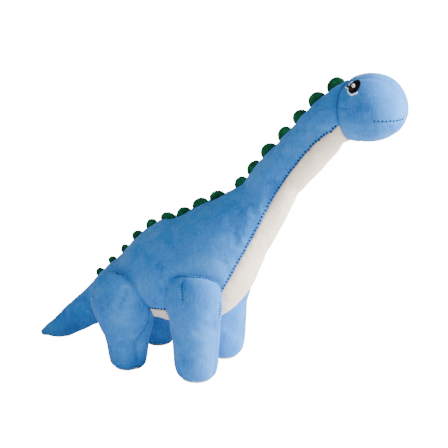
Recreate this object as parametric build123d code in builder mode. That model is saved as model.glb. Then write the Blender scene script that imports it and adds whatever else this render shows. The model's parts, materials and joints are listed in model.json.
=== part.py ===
from build123d import *
import math
import os

# A stuffed long-necked dinosaur, standing on four legs, in millimetres.
# +X points to the head, +Y to the animal's left, +Z up; the soles stand on Z = 0.

# ---- driving dimensions ----
cloth = 1.8  # short-pile velour with its seam allowance behind it
slack = 0.4  # between the cloth and the stuffing
joint_gap = 0.5  # between two stuffed parts that bend against each other
thread_height = 0.8  # how far embroidery stands out of the cloth

# Body line from the tail's tip to the nose: x, z, half height and half width of the section,
# and the slope of the line in degrees where the section isn't square to its neighbours.
body_stations = [
    (-200.8, 2.6, 1.2, 1.2, None),
    (-193.5, 7.0, 6.0, 6.0, None),
    (-179.0, 13.5, 11.5, 11.0, None),
    (-159.0, 28.0, 15.0, 14.5, None),
    (-135.0, 45.5, 18.5, 18.0, None),
    (-116.5, 58.5, 23.0, 24.0, None),
    (-98.0, 69.0, 28.0, 32.0, None),
    (-81.0, 82.0, 36.5, 41.0, None),
    (-62.0, 94.5, 47.5, 48.0, None),
    (-35.0, 100.0, 57.5, 52.0, None),
    (-6.0, 117.0, 53.5, 49.0, None),
    (17.0, 142.0, 44.0, 43.0, None),
    (38.0, 165.0, 33.5, 34.0, None),
    (59.5, 187.5, 25.5, 27.0, None),
    (74.5, 215.0, 24.5, 25.5, None),
    (94.5, 241.5, 24.0, 25.0, None),
    (113.0, 264.5, 25.0, 25.0, 40.0),
    (126.0, 280.0, 27.5, 25.0, 18.0),
    (136.0, 290.0, 29.5, 25.0, 4.0),
    (145.0, 294.0, 31.5, 27.5, 0.0),
    (156.0, 297.0, 33.0, 29.5, 0.0),
    (167.0, 298.5, 33.0, 30.5, 0.0),
    (179.0, 299.0, 30.5, 28.5, 0.0),
    (189.0, 298.5, 25.5, 24.0, 0.0),
    (196.0, 297.5, 17.5, 17.0, 0.0),
    (199.8, 296.8, 8.0, 8.0, 0.0),
    (201.0, 296.6, 1.5, 1.5, 0.0),
]
nose_stations = 3  # stations at the nose that move back as the surface moves in
smallest_share = 0.35  # least size of a section that has been moved in

# Joints of the body: centre x and z, slope of the body line there, radius of the round end.
tail_joint = (-133.0, 47.0, 35.5, 21.5)
neck_joint = (45.0, 172.5, 46.5, 34.5)
head_joint = (136.0, 290.0, 4.0, 31.2)

# Legs: column stations as height, centre x, distance from the middle, half length, half width.
front_leg_stations = [
    (0.0, -3.0, 33.0, 15.0, 14.0),
    (4.0, -3.0, 33.0, 20.0, 19.0),
    (14.0, -3.0, 33.0, 22.5, 22.0),
    (35.0, -3.0, 33.0, 24.0, 23.0),
    (60.0, -4.0, 34.0, 27.0, 24.0),
    (82.0, -4.0, 36.0, 31.0, 24.0),
    (96.0, -4.0, 37.0, 29.5, 20.0),
    (104.5, -4.0, 38.0, 20.5, 13.0),
    (109.0, -4.0, 38.0, 9.0, 5.0),
]
hind_leg_stations = [
    (0.0, -79.0, 36.0, 14.0, 13.0),
    (4.0, -79.0, 36.0, 19.0, 18.0),
    (14.0, -79.0, 36.0, 21.0, 20.0),
    (30.0, -79.0, 36.0, 23.0, 21.0),
    (52.0, -81.0, 37.0, 30.0, 23.0),
    (72.0, -83.0, 38.0, 34.0, 24.0),
    (86.0, -83.5, 39.0, 32.0, 20.0),
    (96.0, -83.5, 40.0, 21.5, 13.0),
    (101.5, -83.5, 40.0, 9.0, 5.0),
]
front_hip = (-4.0, 70.0)  # x and z of the front leg's swing axis
hind_hip = (-83.0, 62.0)
hip_pocket_radius = 42.4  # round hollow in the torso that the thigh turns in
pocket_floor = 30.0  # distance of the hollow's flat floor from the middle
inner_leg_top = 36.0  # the leg's inner half ends here, below the belly

# Cream underside: its seam with the blue sides, seen from the side, x and z.
belly_seam = [
    (146.0, 288.0),
    (131.5, 268.6),
    (101.7, 241.2),
    (78.8, 205.7),
    (61.9, 170.3),
    (45.0, 135.2),
    (27.1, 100.3),
    (12.0, 78.0),
    (-35.0, 73.0),
    (-75.0, 64.0),
    (-93.0, 52.0),
    (-101.0, 37.0),
]

# Head: height of the chin seam, and the crown gusset's outline from above, x and half width.
chin_seam_height = 293.0
crown_outline = [(120.0, 12.0), (154.0, 11.0), (175.0, 8.5), (190.0, 6.0), (199.0, 0.5)]
eye_centre = (153.4, 18.7, 321.5)
eye_normal = (-0.14, 0.68, 0.72)
eye_half_length = 6.6
eye_half_height = 8.0
glint_radius = 1.7
mouth_stitch_length = 2.4
mouth_stitch_pitch = 4.0
mouth_stitch_count = 6
mouth_start = 177.0

# Back plates, measured along the top of the back from the tail's tip.
torso_plate_start = 107.0
torso_plate_pitch = 21.7
torso_plate_count = 9
neck_plate_start = 312.0
neck_plate_pitch = 24.0
neck_plate_count = 7
plate_thickness = 4.0
plate_sink = 1.0  # how deep the plate's foot is caught in the back seam

reach = 600.0  # larger than the whole toy


def line_slopes(stations):
    """Slope of the body line at every station, in radians."""
    slopes = []
    for k, station in enumerate(stations):
        if station[4] is None:
            before = stations[max(k - 1, 0)]
            after = stations[min(k + 1, len(stations) - 1)]
            slopes.append(math.atan2(after[1] - before[1], after[0] - before[0]))
        else:
            slopes.append(math.radians(station[4]))
    return slopes


def body_tube(shrink):
    """The whole body as one smooth tube, with its surface moved in by shrink."""
    slopes = line_slopes(body_stations)
    last = len(body_stations) - 1
    with BuildPart() as tube:
        for k, (x, z, half_height, half_width, _) in enumerate(body_stations):
            end_shift = 0
            if k == 0:
                end_shift = shrink
            elif k > last - nose_stations:
                end_shift = -shrink
            square = Plane(
                origin=(x + end_shift, 0, z),
                x_dir=(0, 1, 0),
                z_dir=(math.cos(slopes[k]), 0, math.sin(slopes[k])),
            )
            with BuildSketch(square):
                Ellipse(
                    max(half_width - shrink, smallest_share * half_width),
                    max(half_height - shrink, smallest_share * half_height),
                )
        loft()
    return tube.part


def leg_column(stations, side, shrink):
    """One leg, cut back where the torso is, with its surface moved in by shrink."""
    floor = pocket_floor + joint_gap + shrink
    with BuildPart() as column:
        for height, x, y, half_length, half_width in stations:
            level = height
            if height == 0:
                level = shrink
            if half_length > 4 * shrink:
                with BuildSketch(Plane((x, side * y, level))):
                    Ellipse(half_length - shrink, half_width - shrink)
        loft()
        with BuildSketch(Plane.XY.offset(inner_leg_top - shrink)):
            Rectangle(reach, 2 * floor)
        extrude(amount=reach, mode=Mode.SUBTRACT)
    return column.part


def half_space(joint, forward, extra):
    """Everything past a body joint on one side, with a round end about its axis."""
    x, z, slope, radius = joint
    turn = math.radians(slope)
    facing = (math.cos(turn) * forward, 0, math.sin(turn) * forward)
    with BuildPart() as region:
        with BuildSketch(Plane(origin=(x, 0, z), x_dir=(0, 1, 0), z_dir=facing).offset(-extra)):
            Rectangle(reach, reach)
        extrude(amount=reach)
        with BuildSketch(Plane.XZ):
            with Locations((x, z)):
                Circle(radius + extra)
        extrude(amount=reach / 2, both=True)
    return region.part


def save(piece, name):
    """Labels one finished piece and writes its file."""
    piece.label = name
    export_step(piece, f"parts/{name}.step")


os.makedirs("parts", exist_ok=True)

# ---- shapes that the pieces are cut from ----
skin_outside = body_tube(0.0)
skin_inside = body_tube(cloth)
filling = body_tube(cloth + slack)
thread_outside = body_tube(-thread_height)

tail_region = half_space(tail_joint, -1, 0.0)
neck_region = half_space(neck_joint, 1, 0.0)
tail_clearance = half_space(tail_joint, -1, joint_gap)
neck_clearance = half_space(neck_joint, 1, joint_gap)
neck_end_region = half_space(head_joint, -1, 0.0)
neck_end_clearance = half_space(head_joint, -1, joint_gap)

with BuildPart() as hip_pockets:
    for hip in (front_hip, hind_hip):
        for side in (-1, 1):
            with BuildSketch(Plane.XZ.offset(-side * pocket_floor)):
                with Locations(hip):
                    Circle(hip_pocket_radius)
            extrude(amount=-side * reach)

with BuildPart() as underside:
    with BuildSketch(Plane.XZ):
        with BuildLine():
            seam = Spline(*belly_seam)
            Polyline(seam @ 1, (-101, -20), (260, -20), (260, 288), seam @ 0)
        make_face()
    extrude(amount=reach / 2, both=True)

with BuildPart() as right_half:
    Box(2 * reach, reach, 2 * reach, align=(Align.CENTER, Align.MAX, Align.CENTER))

with BuildPart() as above_chin:
    with BuildSketch(Plane.XY.offset(chin_seam_height)):
        Rectangle(2 * reach, 2 * reach)
    extrude(amount=reach)

with BuildPart() as crown_strip:
    with BuildSketch(Plane.XY.offset(chin_seam_height)):
        with BuildLine():
            near = Polyline(*[(x, -y) for x, y in crown_outline])
            far = Polyline(*crown_outline)
            Line(near @ 0, far @ 0)
            Line(near @ 1, far @ 1)
        make_face()
    extrude(amount=reach)

with BuildPart() as torso_skin:
    add(skin_outside)
    add(skin_inside, mode=Mode.SUBTRACT)
    add(tail_clearance, mode=Mode.SUBTRACT)
    add(neck_clearance, mode=Mode.SUBTRACT)
    add(hip_pockets.part, mode=Mode.SUBTRACT)

with BuildPart() as neck_skin:
    add(skin_outside)
    add(skin_inside, mode=Mode.SUBTRACT)
    add(neck_region, mode=Mode.INTERSECT)
    add(neck_end_region, mode=Mode.INTERSECT)

with BuildPart() as head_skin:
    add(skin_outside)
    add(skin_inside, mode=Mode.SUBTRACT)
    add(neck_end_clearance, mode=Mode.SUBTRACT)

with BuildPart() as tail_skin:
    add(skin_outside)
    add(skin_inside, mode=Mode.SUBTRACT)
    add(tail_region, mode=Mode.INTERSECT)

# ---- torso and neck: blue sides and cream underside ----
for skin, place, under_name in (
    (torso_skin.part, "torso", "belly_panel"),
    (neck_skin.part, "neck", "throat_panel"),
):
    with BuildPart() as right_panel:
        add(skin)
        add(underside.part, mode=Mode.SUBTRACT)
        add(right_half.part, mode=Mode.INTERSECT)
    save(right_panel.part, f"{place}_panel_right")

    with BuildPart() as left_panel:
        add(skin)
        add(underside.part, mode=Mode.SUBTRACT)
        add(right_half.part, mode=Mode.SUBTRACT)
    save(left_panel.part, f"{place}_panel_left")

    with BuildPart() as under_panel:
        add(skin)
        add(underside.part, mode=Mode.INTERSECT)
    save(under_panel.part, under_name)

# ---- tail ----
with BuildPart() as tail_panel_right:
    add(tail_skin.part)
    add(right_half.part, mode=Mode.INTERSECT)
save(tail_panel_right.part, "tail_panel_right")

with BuildPart() as tail_panel_left:
    add(tail_skin.part)
    add(right_half.part, mode=Mode.SUBTRACT)
save(tail_panel_left.part, "tail_panel_left")

# ---- head: two cheeks, the crown gusset and the chin ----
with BuildPart() as chin_panel:
    add(head_skin.part)
    add(above_chin.part, mode=Mode.SUBTRACT)
save(chin_panel.part, "chin_panel")

with BuildPart() as crown_gusset:
    add(head_skin.part)
    add(crown_strip.part, mode=Mode.INTERSECT)
save(crown_gusset.part, "crown_gusset")

with BuildPart() as cheek_panel_right:
    add(head_skin.part)
    add(above_chin.part, mode=Mode.INTERSECT)
    add(crown_strip.part, mode=Mode.SUBTRACT)
    add(right_half.part, mode=Mode.INTERSECT)
save(cheek_panel_right.part, "cheek_panel_right")

with BuildPart() as cheek_panel_left:
    add(head_skin.part)
    add(above_chin.part, mode=Mode.INTERSECT)
    add(crown_strip.part, mode=Mode.SUBTRACT)
    add(right_half.part, mode=Mode.SUBTRACT)
save(cheek_panel_left.part, "cheek_panel_left")

# ---- stuffing of the body ----
with BuildPart() as torso_stuffing:
    add(filling)
    add(tail_clearance, mode=Mode.SUBTRACT)
    add(neck_clearance, mode=Mode.SUBTRACT)
    add(hip_pockets.part, mode=Mode.SUBTRACT)
save(torso_stuffing.part, "torso_stuffing")

with BuildPart() as neck_stuffing:
    add(filling)
    add(neck_region, mode=Mode.INTERSECT)
    add(neck_end_region, mode=Mode.INTERSECT)
save(neck_stuffing.part, "neck_stuffing")

with BuildPart() as head_stuffing:
    add(filling)
    add(neck_end_clearance, mode=Mode.SUBTRACT)
save(head_stuffing.part, "head_stuffing")

with BuildPart() as tail_stuffing:
    add(filling)
    add(tail_region, mode=Mode.INTERSECT)
save(tail_stuffing.part, "tail_stuffing")

# ---- embroidered eyes and mouth ----
for side, side_name in ((-1, "right"), (1, "left")):
    centre = Vector(eye_centre[0], side * eye_centre[1], eye_centre[2])
    normal = Vector(eye_normal[0], side * eye_normal[1], eye_normal[2]).normalized()
    eye_plane = Plane(origin=centre, x_dir=(1, 0, 0.2), z_dir=normal)
    with BuildPart() as eye:
        with BuildSketch(eye_plane.offset(-5)):
            Ellipse(eye_half_length, eye_half_height)
        extrude(amount=10)
        add(thread_outside, mode=Mode.INTERSECT)
        add(skin_outside, mode=Mode.SUBTRACT)
        add(neck_end_clearance, mode=Mode.SUBTRACT)
    save(eye.part, f"eye_{side_name}")

    with BuildPart() as glint:
        with BuildSketch(eye_plane.offset(thread_height / 2)):
            with Locations((0.8, 1.6)):
                Circle(glint_radius)
        extrude(amount=thread_height)
    save(glint.part, f"eye_glint_{side_name}")

with BuildPart() as mouth_stitching:
    with BuildSketch(Plane.XY.offset(chin_seam_height - thread_height / 2)):
        for k in range(mouth_stitch_count):
            with Locations((mouth_start + k * mouth_stitch_pitch, 0)):
                Rectangle(mouth_stitch_length, reach)
    extrude(amount=thread_height)
    add(thread_outside, mode=Mode.INTERSECT)
    add(skin_outside, mode=Mode.SUBTRACT)
save(mouth_stitching.part, "mouth_stitching")

# ---- legs ----
legs = (
    ("front_right_leg", front_leg_stations, -1),
    ("front_left_leg", front_leg_stations, 1),
    ("hind_right_leg", hind_leg_stations, -1),
    ("hind_left_leg", hind_leg_stations, 1),
)
for leg_name, stations, side in legs:
    leg_outside = leg_column(stations, side, 0.0)
    leg_inside = leg_column(stations, side, cloth)
    leg_filling = leg_column(stations, side, cloth + slack)
    seam_plane = side * (stations[0][2] + 2.0)

    with BuildPart() as outer_half:
        with BuildSketch(Plane.XZ.offset(-seam_plane)):
            Rectangle(2 * reach, 2 * reach)
        extrude(amount=-side * reach)

    with BuildPart() as foot_slab:
        with BuildSketch(Plane.XY):
            Rectangle(2 * reach, 2 * reach)
        extrude(amount=cloth)

    with BuildPart() as sole:
        add(leg_outside)
        add(foot_slab.part, mode=Mode.INTERSECT)
    save(sole.part, f"{leg_name}_sole")

    with BuildPart() as outer_panel:
        add(leg_outside)
        add(leg_inside, mode=Mode.SUBTRACT)
        add(foot_slab.part, mode=Mode.SUBTRACT)
        add(outer_half.part, mode=Mode.INTERSECT)
    save(outer_panel.part, f"{leg_name}_outer_panel")

    with BuildPart() as inner_panel:
        add(leg_outside)
        add(leg_inside, mode=Mode.SUBTRACT)
        add(foot_slab.part, mode=Mode.SUBTRACT)
        add(outer_half.part, mode=Mode.SUBTRACT)
    save(inner_panel.part, f"{leg_name}_inner_panel")

    save(leg_filling, f"{leg_name}_stuffing")

# ---- back plates, caught in the seam along the back ----
slopes = line_slopes(body_stations)
top_points = [
    (x - math.sin(slope) * half_height, 0, z + math.cos(slope) * half_height)
    for (x, z, half_height, _, _), slope in zip(body_stations[:19], slopes)
]
back_line = Spline(*top_points)

torso_arcs = [torso_plate_start + k * torso_plate_pitch for k in range(torso_plate_count)]
neck_arcs = [neck_plate_start + k * neck_plate_pitch for k in range(neck_plate_count)]
for number, arc in enumerate(torso_arcs + neck_arcs, start=1):
    share = number / (len(torso_arcs) + len(neck_arcs))
    half_length = 5.0 + 2.0 * share
    height = 7.5 + 2.0 * share
    foot = back_line.position_at(arc, position_mode=PositionMode.LENGTH)
    along = back_line.tangent_at(arc, position_mode=PositionMode.LENGTH)
    plate_plane = Plane(origin=foot, x_dir=along, z_dir=(0, -1, 0))
    with BuildPart() as plate:
        with BuildSketch(plate_plane):
            Ellipse(half_length, height)
            with Locations((0, -plate_sink)):
                Rectangle(50, 50, align=(Align.CENTER, Align.MAX), mode=Mode.SUBTRACT)
        extrude(amount=plate_thickness / 2, both=True)
        add(skin_inside, mode=Mode.SUBTRACT)
    save(plate.part, f"back_plate_{number:02d}")
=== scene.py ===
"""Stuffed long-necked dinosaur: velour skins, stitching, embroidery and back plates around its model."""

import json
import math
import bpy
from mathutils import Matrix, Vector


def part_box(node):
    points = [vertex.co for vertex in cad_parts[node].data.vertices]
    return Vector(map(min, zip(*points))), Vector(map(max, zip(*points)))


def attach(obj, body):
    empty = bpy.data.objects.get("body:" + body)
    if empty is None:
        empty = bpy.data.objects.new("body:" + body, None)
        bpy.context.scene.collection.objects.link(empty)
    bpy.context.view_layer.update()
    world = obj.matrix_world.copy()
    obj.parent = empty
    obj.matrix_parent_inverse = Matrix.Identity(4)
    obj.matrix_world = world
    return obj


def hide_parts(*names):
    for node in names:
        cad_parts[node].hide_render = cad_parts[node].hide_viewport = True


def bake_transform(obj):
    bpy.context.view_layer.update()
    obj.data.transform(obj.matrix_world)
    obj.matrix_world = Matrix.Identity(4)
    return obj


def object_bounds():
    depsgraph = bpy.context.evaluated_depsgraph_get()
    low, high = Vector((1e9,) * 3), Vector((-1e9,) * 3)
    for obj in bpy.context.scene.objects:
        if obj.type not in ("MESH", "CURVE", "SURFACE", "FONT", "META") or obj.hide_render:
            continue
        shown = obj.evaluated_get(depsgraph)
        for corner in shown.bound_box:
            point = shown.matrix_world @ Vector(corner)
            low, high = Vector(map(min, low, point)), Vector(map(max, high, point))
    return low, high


bl_info = {
    "name": "Stuffed Dinosaur",
    "version": (1, 0, 0),
    "blender": (4, 5, 0),
    "location": "View3D > Sidebar > Dinosaur",
    "description": "Sews and finishes a stuffed long-necked dinosaur around its frame",
    "category": "Add Mesh",
}

from functools import partial

import bmesh
import bpy
import numpy as np
from mathutils import Matrix, Vector, noise
from mathutils.bvhtree import BVHTree
from mathutils.kdtree import KDTree

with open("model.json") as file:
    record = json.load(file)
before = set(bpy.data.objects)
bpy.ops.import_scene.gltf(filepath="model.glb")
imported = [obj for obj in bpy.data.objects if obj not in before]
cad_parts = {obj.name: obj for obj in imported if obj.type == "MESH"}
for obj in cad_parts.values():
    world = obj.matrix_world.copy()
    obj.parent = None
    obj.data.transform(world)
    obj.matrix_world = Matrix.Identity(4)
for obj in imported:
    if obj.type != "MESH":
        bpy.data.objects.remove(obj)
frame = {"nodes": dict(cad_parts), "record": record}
CAD_BOX = [list(corner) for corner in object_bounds()]
MM = 0.001

# Body line from the tail's tip to the nose, in mm: x, z, half height and half width of the round
# section, and the line's slope in degrees where the section isn't square to its neighbours.
BODY_STATIONS = (
    (-201.4, 2.3, 0.0, 0.0, None),
    (-200.8, 2.6, 1.2, 1.2, None),
    (-193.5, 7.0, 6.0, 6.0, None),
    (-179.0, 13.5, 11.5, 11.0, None),
    (-159.0, 28.5, 15.6, 14.5, None),
    (-135.3, 46.5, 19.6, 18.0, None),
    (-117.4, 59.7, 24.6, 24.0, None),
    (-98.7, 71.6, 30.8, 32.0, None),
    (-81.0, 81.3, 35.8, 41.0, None),
    (-62.0, 93.5, 46.5, 48.0, None),
    (-35.0, 100.0, 57.5, 52.0, None),
    (-6.0, 117.0, 53.5, 49.0, None),
    (16.6, 144.0, 44.9, 43.0, None),
    (36.7, 166.3, 34.6, 34.0, None),
    (56.6, 189.6, 27.5, 27.0, None),
    (72.3, 216.4, 25.4, 25.5, None),
    (94.0, 241.9, 24.6, 25.0, None),
    (113.0, 264.5, 25.0, 25.0, 40.0),
    (126.0, 280.0, 27.5, 25.0, 18.0),
    (136.0, 290.0, 29.5, 25.0, 4.0),
    (145.0, 294.0, 31.5, 27.5, 0.0),
    (156.0, 297.0, 33.0, 29.5, 0.0),
    (167.0, 298.5, 33.0, 30.5, 0.0),
    (179.0, 299.0, 30.5, 28.5, 0.0),
    (189.0, 299.0, 24.5, 23.5, 0.0),
    (196.0, 298.0, 16.5, 16.5, 0.0),
    (199.8, 297.0, 7.5, 7.5, 0.0),
    (201.0, 296.6, 0.0, 0.0, 0.0),
)
LINE_STEPS = 1600
SOFTEN_SPREAD = 22  # steps over which the line between the stations is softened
SOFTEN_REACH = 60
RUMP_X = -112.0  # the tail's skin is sewn on here, under the thigh

# Seams in mm. The underside's seam is x and z along the toy, and the head's rear seam is z and x.
BELLY_SEAM = (
    (146, 288), (136.4, 277.6), (122.5, 266.5), (101.7, 241.2), (78.8, 205.7), (61.9, 170.3), (45, 135.2),
    (27.1, 100.3), (12, 78), (-35, 73), (-75, 64), (-93, 52), (-101, 37),
)
HEAD_SEAM = ((262, 148), (272, 145.5), (284, 142.3), (301, 139.0), (313, 138.0), (321, 140.3), (330, 146))
CHIN_SEAM_Z = 293.0
CROWN_OUTLINE = ((120, 12), (154, 11), (175, 8.5), (190, 6), (199, 0.2), (201, 0.2))
CHEEK_DART = (302.0, 10.0)  # height and length of the tuck behind each cheek
CHEEK_BACK_X = 139.5
CROWN_TIP_X = 198.5
MOUTH_START_X = 178.0

# Legs in mm: height, centre x, distance from the middle, half length and half width.
LEG_STATIONS = {
    "front": (
        (0, -3, 33, 0, 0), (0, -3, 33, 13.5, 12.5), (4, -3, 33, 18.5, 17.5), (14, -3, 33, 22, 21.5),
        (35, -3, 33, 24, 23), (60, -4, 34, 27, 24), (82, -4, 36, 31, 24), (99, -4, 37, 31, 21.5),
        (113, -4, 39, 27, 15), (120.5, -4, 39, 13, 7), (121.5, -4, 39, 0, 0),
    ),
    "hind": (
        (0, -79, 36, 0, 0), (0, -79, 36, 12, 11), (4, -79, 36, 17.5, 16.5), (14, -79, 36, 20.3, 19.3),
        (30, -79, 36, 23, 21), (52, -81, 37, 30, 23), (72, -83, 38, 34, 24), (86, -83.5, 39, 32, 20),
        (97, -83.5, 40, 25.5, 14.5), (105, -83.5, 40, 12, 6), (106, -83.5, 40, 0, 0),
    ),
}
# Where the front seam of each leg runs: height in mm and degrees outward from straight ahead.
LEG_FRONT_SEAM = {
    "front": ((0, 4), (110, 8)),
    "hind": ((0, 32), (13, 35), (25, 43), (37, 46), (48, 25), (58, 9), (72, 9), (101, 9)),
}
LEG_BACK_SEAM = 176.0
SOLE_SEAM_HEIGHT = 2.6
# Tucks sewn into the top of each thigh: start and end as height in mm and degrees.
LEG_DARTS = {
    "front": (((113, 98), (93, 91)), ((98, 154), (89, 138))),
    "hind": (((94, 62), (75, 78)), ((90, 142), (71, 135))),
}
LEG_NAMES = ("front_right_leg", "front_left_leg", "hind_right_leg", "hind_left_leg")


def smooth_rows(rows, knots, at):
    """Values on a smooth curve through rows of numbers that stand at the given knots."""
    rows, at = np.asarray(rows, float), np.asarray(at, float)
    slopes = np.gradient(rows, knots, axis=0)
    k = np.clip(np.searchsorted(knots, at) - 1, 0, len(knots) - 2)
    span = (knots[k + 1] - knots[k])[:, None]
    s = (at - knots[k])[:, None] / span
    return (
        (2 * s**3 - 3 * s**2 + 1) * rows[k]
        + (s**3 - 2 * s**2 + s) * span * slopes[k]
        + (3 * s**2 - 2 * s**3) * rows[k + 1]
        + (s**3 - s**2) * span * slopes[k + 1]
    )


def evenly(rows, measured):
    """Rows again, spaced evenly along the surface that the measured columns draw."""
    steps = np.linalg.norm(np.diff(rows[:, measured], axis=0), axis=1)
    along = np.concatenate(([0], np.cumsum(steps)))
    even = np.linspace(0, along[-1], LINE_STEPS + 1)
    return np.stack([np.interp(even, along, column) for column in rows.T], -1)


def curve_through(points, count):
    """A smooth curve of count points through a few given ones."""
    points = np.asarray(points, float)
    knots = np.concatenate(([0], np.cumsum(np.linalg.norm(np.diff(points, axis=0), axis=1))))
    return smooth_rows(points, knots, np.linspace(0, knots[-1], count))


def body_rows():
    """x, z, half height, half width and direction of the body line, evenly spaced, in metres."""
    xz = np.array([s[:2] for s in BODY_STATIONS], float)
    directions = np.gradient(xz, axis=0)
    for k, station in enumerate(BODY_STATIONS):
        if station[4] is not None:
            directions[k] = np.cos(math.radians(station[4])), np.sin(math.radians(station[4]))
    directions /= np.linalg.norm(directions, axis=1)[:, None]
    halves = np.array([s[2:4] for s in BODY_STATIONS], float)
    knots = np.concatenate(([0], np.cumsum(np.linalg.norm(np.diff(xz, axis=0), axis=1))))
    stations = np.hstack((xz * MM, halves * MM, directions))
    rows = smooth_rows(stations, knots, np.linspace(0, knots[-1], 4 * LINE_STEPS))
    rows[:, 4:] /= np.linalg.norm(rows[:, 4:], axis=1)[:, None]
    rows[:, 2:4] = np.maximum(rows[:, 2:4], 0)
    rows = evenly(rows, [0, 1, 2])
    reach = SOFTEN_REACH
    kernel = np.exp(-0.5 * (np.arange(-reach, reach + 1) / SOFTEN_SPREAD) ** 2)
    padded = np.pad(rows, ((reach, reach), (0, 0)), mode="edge")
    softened = np.stack([np.convolve(c, kernel / kernel.sum(), mode="valid") for c in padded.T], -1)
    from_end = np.minimum(np.arange(len(rows)), np.arange(len(rows))[::-1])[:, None]
    rows += (softened - rows) * np.clip((from_end - reach) / (2 * reach), 0, 1)
    rows[:, 4:] /= np.linalg.norm(rows[:, 4:], axis=1)[:, None]
    return evenly(rows, [0, 1, 2])


BODY = body_rows()
LINE = np.linspace(0, 1, LINE_STEPS + 1)


def skin(v, angle):
    """Points of the body's skin: v runs from tail to nose, angle turns from the back to the left."""
    v, angle = np.broadcast_arrays(np.asarray(v, float), np.asarray(angle, float))
    x, z, half_height, half_width, dx, dz = (np.interp(v, LINE, column) for column in BODY.T)
    up = half_height * np.cos(angle)
    return np.stack((x - dz * up, half_width * np.sin(angle), z + dx * up), -1)


def outward(surface, v, angle):
    """Unit normals of a surface(v, angle), away from its inside."""
    v, angle = np.broadcast_arrays(np.asarray(v, float), np.asarray(angle, float))
    v = np.clip(v, 0.002, 0.998)
    along = surface(v + 0.001, angle) - surface(v - 0.001, angle)
    around = surface(v, angle + 0.01) - surface(v, angle - 0.01)
    normal = np.cross(along, around)
    return normal / np.maximum(np.linalg.norm(normal, axis=-1, keepdims=True), 1e-12)


def v_at_x(x):
    """Place along the body line whose centre is at x, in metres."""
    return float(np.interp(x, BODY[:, 0], LINE))


def belly_angles():
    """Angle of the underside's seam at each place along the body line."""
    seam = curve_through(np.array(BELLY_SEAM, float) * MM, 500)
    angles = np.full(len(LINE), math.pi)
    for k, (x, z, half_height, _, dx, dz) in enumerate(BODY):
        ahead = (seam[:, 0] - x) * dx + (seam[:, 1] - z) * dz
        up = -(seam[:, 0] - x) * dz + (seam[:, 1] - z) * dx
        cross = np.nonzero((ahead[:-1] * ahead[1:] <= 0) & (up[:-1] < half_height))[0]
        if len(cross):
            angles[k] = math.acos(np.clip(up[cross[0]] / half_height, -1, 1))
    beyond = LINE > v_at_x(0.142)
    angles[beyond] = angles[~beyond][-1]
    return angles


BELLY_ANGLES = belly_angles()
RUMP_V = v_at_x(RUMP_X * MM)
BELLY_START_V = float(LINE[np.nonzero(BELLY_ANGLES < math.pi)[0][0]])


def belly_angle(v):
    return np.interp(v, LINE, BELLY_ANGLES)


def head_seam_places():
    """Place along the body line of the head's rear seam, for each angle round it."""
    heights, xs = (np.array(c, float) * MM for c in zip(*HEAD_SEAM))
    angles = np.linspace(0, 2 * math.pi, 241)
    v = np.linspace(v_at_x(0.118), v_at_x(0.170), 300)
    places = []
    for angle in angles:
        points = skin(v, angle)
        past = points[:, 0] - np.interp(points[:, 2], heights, xs)
        places.append(np.interp(0, past, v))
    return angles, np.array(places)


HEAD_ANGLES, HEAD_PLACES = head_seam_places()


def head_seam(angle):
    return np.interp(np.mod(angle, 2 * math.pi), HEAD_ANGLES, HEAD_PLACES)


THROAT_END_V = float(head_seam(belly_angle(0.7)))  # where the underside's seam meets the head


def chin_angle(v):
    """Angle of the seam between cheek and chin."""
    z, half_height = (np.interp(v, LINE, BODY[:, k]) for k in (1, 2))
    return np.arccos(np.clip((CHIN_SEAM_Z * MM - z) / np.maximum(half_height, 1e-5), -1, 1))


def crown_angle(v):
    """Angle of the crown gusset's edge."""
    x, half_width = (np.interp(v, LINE, BODY[:, k]) for k in (0, 3))
    xs, halves = (np.array(c, float) * MM for c in zip(*CROWN_OUTLINE))
    return np.arcsin(np.clip(np.interp(x, xs, halves) / np.maximum(half_width, 1e-5), 0, 0.99))


def leg_rows(kind):
    """Height, x, distance from the middle, half length and half width up a leg, in metres."""
    stations = np.array(LEG_STATIONS[kind], float) * MM
    knots = np.concatenate(([0], np.cumsum(np.abs(np.diff(stations[:, [0, 3]], axis=0)).sum(1))))
    rows = smooth_rows(stations, knots, np.linspace(0, knots[-1], 4 * LINE_STEPS))
    rows = np.maximum(rows, [[0, -1, 0, 0, 0]])
    return evenly(rows, [0, 3])


LEG_ROWS = {kind: leg_rows(kind) for kind in LEG_STATIONS}


def leg_skin(name):
    """A leg's surface(v, angle): v runs from the sole's middle to the top, angle from the front outwards."""
    kind = name.split("_")[0]
    side = 1 if "left" in name else -1
    rows = LEG_ROWS[kind]

    def surface(v, angle):
        v, angle = np.broadcast_arrays(np.asarray(v, float), np.asarray(angle, float))
        z, x, y, half_length, half_width = (np.interp(v, LINE, column) for column in rows.T)
        return np.stack((x + half_length * np.cos(angle), side * (y + half_width * np.sin(angle)), z), -1)

    return surface


def leg_v(kind, height):
    """Place up a leg at a height in mm, above its sole's edge."""
    rows = LEG_ROWS[kind]
    edge = int(np.argmax(rows[:, 0] > 1e-5))
    return np.interp(np.asarray(height, float) * MM, rows[edge:, 0], LINE[edge:])


def leg_front_angle(kind, v):
    heights, degrees = (np.array(c, float) for c in zip(*LEG_FRONT_SEAM[kind]))
    return np.radians(np.interp(np.interp(v, LINE, LEG_ROWS[kind][:, 0]) / MM, heights, degrees))


def depth_in_body(points):
    """Share of the way from the body line to its skin, under 1 inside the body."""
    rows = BODY[::4]
    x, z, half_height, half_width, dx, dz = rows.T
    ax, az = points[:, :1] - x, points[:, 2:] - z
    ahead, up = ax * dx + az * dz, -ax * dz + az * dx
    nearest = np.argmin(np.abs(ahead) + 0.15 * np.hypot(ax, az), axis=1)
    k = np.arange(len(points))
    height = np.maximum(half_height[nearest], 1e-4)
    width = np.maximum(half_width[nearest], 1e-4)
    return np.hypot(up[k, nearest] / height, points[:, 1] / width)


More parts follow.
